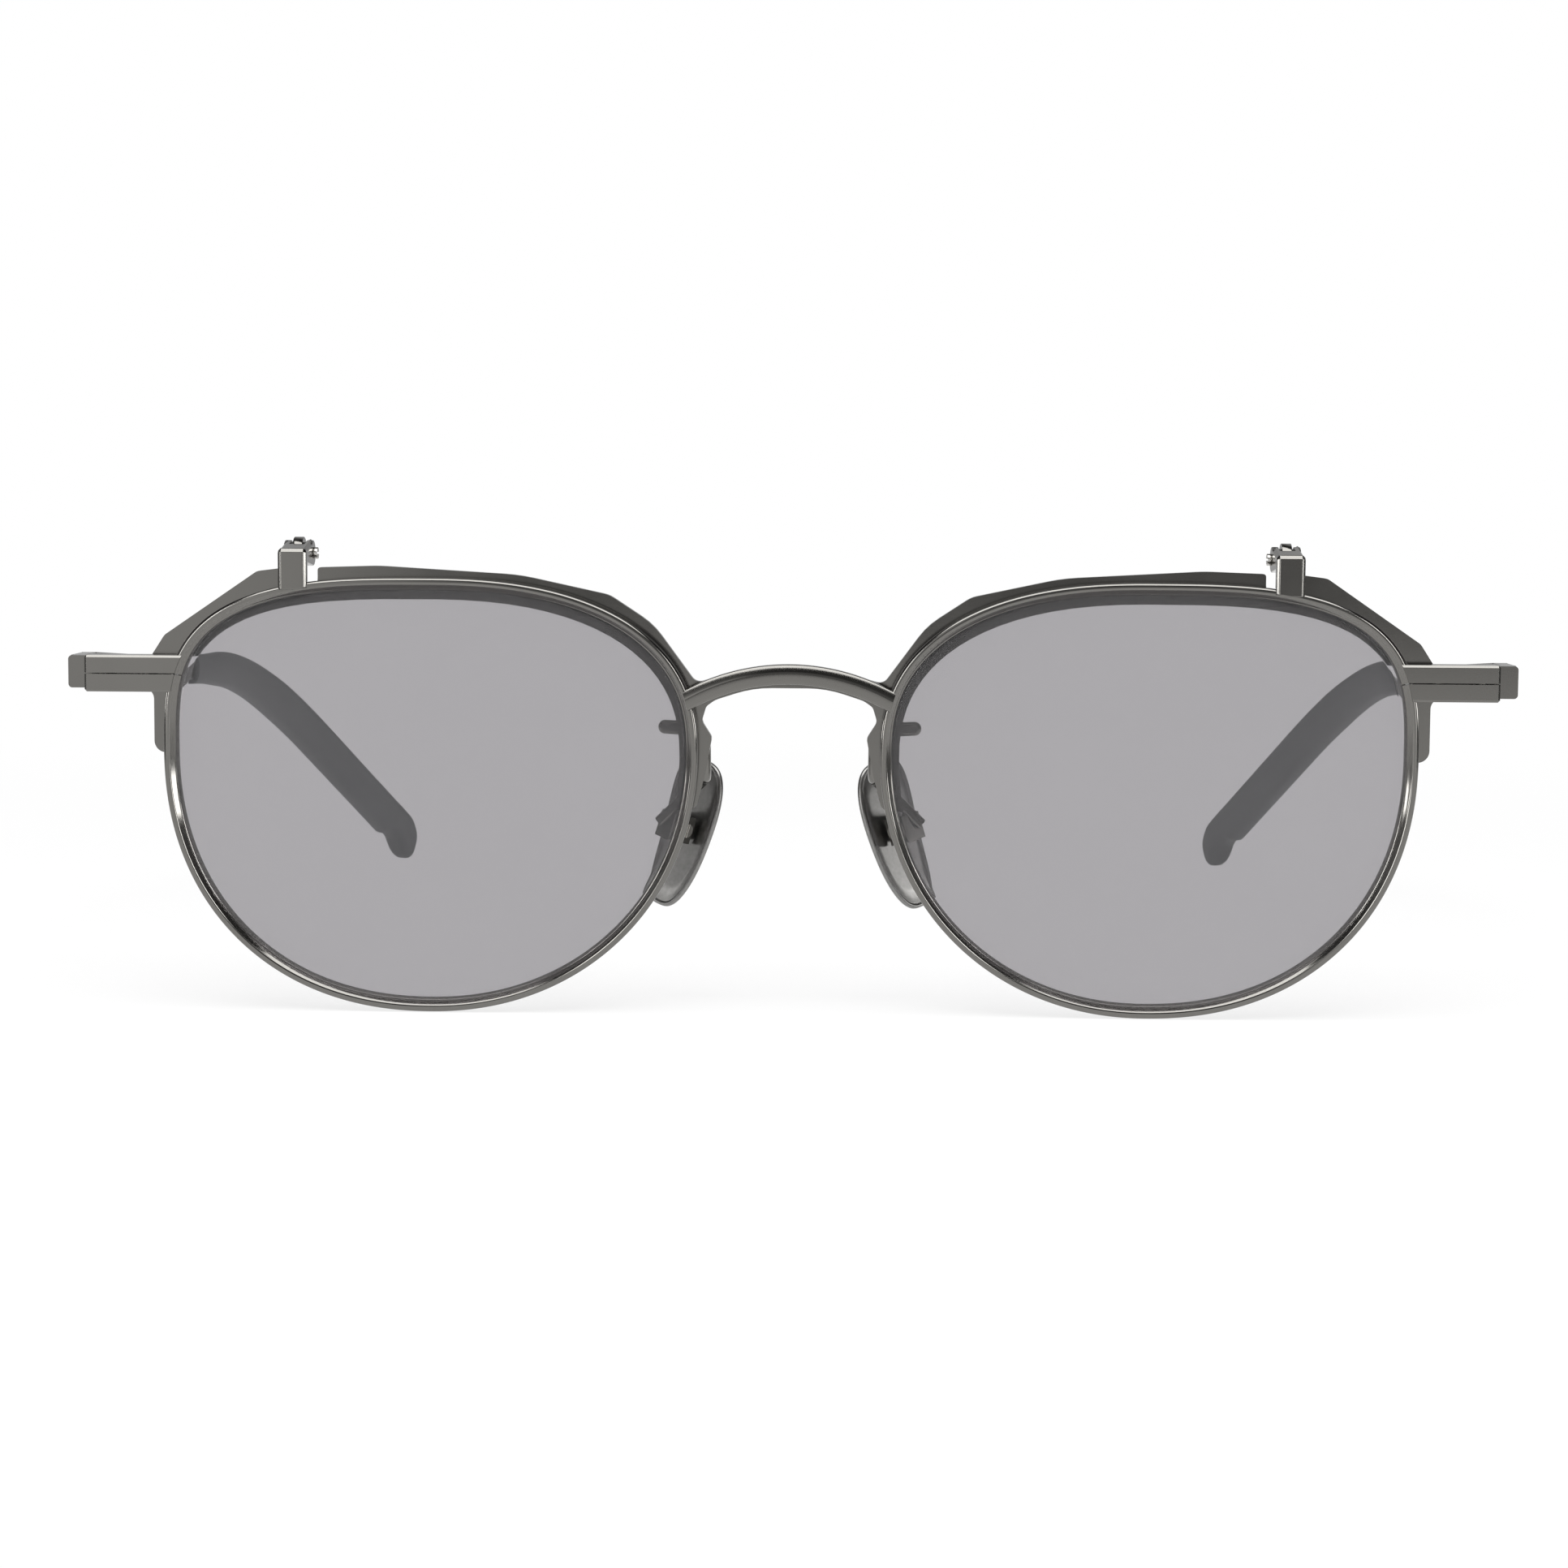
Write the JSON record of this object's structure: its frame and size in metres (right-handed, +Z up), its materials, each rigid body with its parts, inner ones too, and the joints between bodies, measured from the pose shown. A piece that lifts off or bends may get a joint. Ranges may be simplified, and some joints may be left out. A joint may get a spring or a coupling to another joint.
{
  "type": "flip up sunglasses",
  "caption": "Metal sunglasses: tinted lenses in rims that hinge up on a flat brow plate, which carries arched bridge, nose pads and folding temples with dark tips.",
  "frame": {"origin": "middle of the foot print, on the surface that the rims and temple tips stand on", "axes": "+X to the wearer's left, +Y back along the temples, +Z up"},
  "size_m": [0.147, 0.136, 0.048],
  "materials": {
    "gunmetal": "polished gunmetal plating with bright bevels",
    "pad_metal": "satin metal pad with a rolled edge",
    "lens_tint": "light grey tint, polished",
    "tip": "matte dark grey sleeve",
    "screw_steel": "turned steel",
    "washer": "black nylon"
  },
  "bodies": {
    "rear_frame": {"rear_brow_plate": "gunmetal", "endpiece_left": "gunmetal", "endpiece_right": "gunmetal", "temple_hinge_leaf_left": "gunmetal", "temple_hinge_leaf_right": "gunmetal", "temple_hinge_screws": "screw_steel", "flip_knuckle_left": "gunmetal", "flip_knuckle_right": "gunmetal", "pad_arm_left": "gunmetal", "pad_arm_right": "gunmetal", "nose_pad_screws": "screw_steel"},
    "flip_front": {"rim_left": "gunmetal", "rim_right": "gunmetal", "lens_left": "lens_tint", "lens_right": "lens_tint", "front_bridge": "gunmetal", "lock_block_upper_left": "gunmetal", "lock_block_upper_right": "gunmetal", "lock_block_lower_left": "gunmetal", "lock_block_lower_right": "gunmetal", "lock_screws": "screw_steel", "flip_bracket_left": "gunmetal", "flip_bracket_right": "gunmetal", "flip_hinge_screws": "screw_steel", "flip_hinge_washers": "washer"},
    "temple_arm_left": {"temple_left": "gunmetal", "temple_tip_left": "tip", "temple_hinge_knuckle_left": "gunmetal"},
    "temple_arm_right": {"temple_right": "gunmetal", "temple_tip_right": "tip", "temple_hinge_knuckle_right": "gunmetal"},
    "pad_rocker_left": {"nose_pad_left": "pad_metal"},
    "pad_rocker_right": {"nose_pad_right": "pad_metal"}
  },
  "joints": [
    {"name": "flip_up", "type": "hinge", "parent": "rear_frame", "child": "flip_front", "pos_m": [0, -0.063, 0.0464], "axis": [-1, 0, 0], "range_deg": [0, 90]},
    {"name": "temple_fold_left", "type": "hinge", "parent": "rear_frame", "child": "temple_arm_left", "pos_m": [0.07075, -0.05895, 0.03425], "axis": [0, 0, 1], "range_deg": [0, 84]},
    {"name": "temple_fold_right", "type": "hinge", "parent": "rear_frame", "child": "temple_arm_right", "pos_m": [-0.07075, -0.05895, 0.03425], "axis": [0, 0, -1], "range_deg": [0, 76]},
    {"name": "pad_rock_left", "type": "hinge", "parent": "rear_frame", "child": "pad_rocker_left", "pos_m": [0.0117, -0.05778, 0.01811], "axis": [0.6994, 0.682, 0.2138], "range_deg": [-8, 8]},
    {"name": "pad_rock_right", "type": "hinge", "parent": "rear_frame", "child": "pad_rocker_right", "pos_m": [-0.0117, -0.05778, 0.01811], "axis": [0.6994, -0.682, -0.2138], "range_deg": [-8, 8]}
  ]
}
